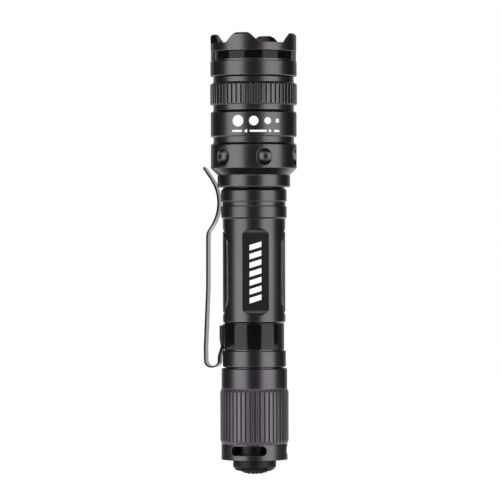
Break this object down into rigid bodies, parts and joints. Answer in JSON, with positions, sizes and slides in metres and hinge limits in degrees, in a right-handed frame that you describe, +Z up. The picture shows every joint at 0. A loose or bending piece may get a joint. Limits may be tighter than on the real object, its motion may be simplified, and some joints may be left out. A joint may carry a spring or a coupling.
{
  "type": "tactical flashlight",
  "caption": "Hand-held tactical flashlight with a twist-to-zoom head, toothed crown, spring pocket clip and rubber tail switch.",
  "frame": {"origin": "on the light's axis, at the middle of the grip tube", "axes": "+Z up the light from tail switch to crown; -Y is the front, with the flat panel and the zoom scale; the clip is near -X"},
  "size_m": [0.0332, 0.0304, 0.1541],
  "materials": {
    "anodised": "satin black hard-anodised, fine bead-blasted grain",
    "anodised_cap": "satin black hard-anodised, slightly purple cast",
    "gloss_liner": "gloss black, smooth",
    "bare_aluminium": "machined, clear anodised",
    "clip_steel": "spring steel, gloss black coat",
    "spring_steel": "plated spring wire",
    "pin_steel": "ground steel",
    "brass_ring": "machined brass",
    "boot_rubber": "matte black silicone rubber with a fine pebble texture",
    "seal_rubber": "black nitrile rubber, lightly greased",
    "glide_plastic": "black low-friction plastic",
    "switch_plastic": "black moulded plastic",
    "plunger_plastic": "natural moulded plastic",
    "board": "green circuit board",
    "led": "yellow phosphor under clear silicone",
    "wire": "red insulated wire",
    "lens_glass": "clear polished lens",
    "cell_wrap": "plain printed-free cell sleeve with bare ends"
  },
  "bodies": {
    "light_body": {"battery_tube": "anodised", "tail_o_ring": "seal_rubber", "neck_o_ring": "seal_rubber", "head_shell": "anodised", "focus_ring_washers": "glide_plastic", "front_ring": "anodised", "window_liner": "gloss_liner", "crown_ring": "anodised", "led_pill": "brass_ring", "pill_retaining_ring": "bare_aluminium", "led_board": "board", "led_emitter": "led", "led_leads": "wire", "driver_board": "board", "driver_spring": "spring_steel"},
    "focus_ring": {"focus_ring": "anodised"},
    "lens_assembly": {"lens_carrier": "bare_aluminium", "cam_pins": "pin_steel", "lens": "lens_glass", "lens_o_ring": "seal_rubber", "lens_retaining_ring": "anodised"},
    "cells": {"battery_rear": "cell_wrap", "battery_front": "cell_wrap"},
    "tail_cap": {"tail_cap": "anodised_cap", "boot_flange": "boot_rubber", "boot_washer": "bare_aluminium", "switch_housing": "switch_plastic", "switch_board": "board", "switch_retaining_ring": "bare_aluminium", "tail_spring": "spring_steel", "switch_spring": "spring_steel"},
    "switch_button": {"switch_boot": "boot_rubber", "switch_plunger": "plunger_plastic"},
    "clip": {"clip_band": "clip_steel"},
    "clip_arm": {"clip_arm": "clip_steel"}
  },
  "joints": [
    {"name": "focus_twist", "type": "hinge", "parent": "light_body", "child": "focus_ring", "pos_m": [0, 0, 0.06176], "axis": [0, 0, 1], "range_deg": [0, 90]},
    {"name": "lens_slide", "type": "slide", "parent": "light_body", "child": "lens_assembly", "axis": [0, 0, 1], "range_m": [0, 0.005]},
    {"name": "cell_slide", "type": "slide", "parent": "light_body", "child": "cells", "axis": [0, 0, -1], "range_m": [0, 0.00975]},
    {"name": "tail_unscrew", "type": "hinge", "parent": "cells", "child": "tail_cap", "pos_m": [0, 0, -0.05024], "axis": [0, 0, -1], "range_deg": [0, 2340]},
    {"name": "button_press", "type": "slide", "parent": "tail_cap", "child": "switch_button", "axis": [0, 0, 1], "range_m": [0, 0.0015], "stiffness_N_per_m": 2000, "springref_m": -0.0005, "deforming": ["switch_spring"]},
    {"name": "clip_swivel", "type": "hinge", "parent": "light_body", "child": "clip", "pos_m": [0, 0, -0.02314], "axis": [0, 0, 1], "continuous": true},
    {"name": "clip_flex", "type": "hinge", "parent": "clip", "child": "clip_arm", "pos_m": [-0.01438, 0.00391, -0.03384], "axis": [-0.2622, -0.965, 0], "range_deg": [0, 5], "stiffness_Nm_per_rad": 0.6, "springref_deg": -0.57}
  ],
  "couplings": [
    {"joint": "focus_twist", "follows": "lens_slide", "rad_per_m": 314.16},
    {"joint": "tail_unscrew", "follows": "cell_slide", "rad_per_m": 4188.8}
  ]
}
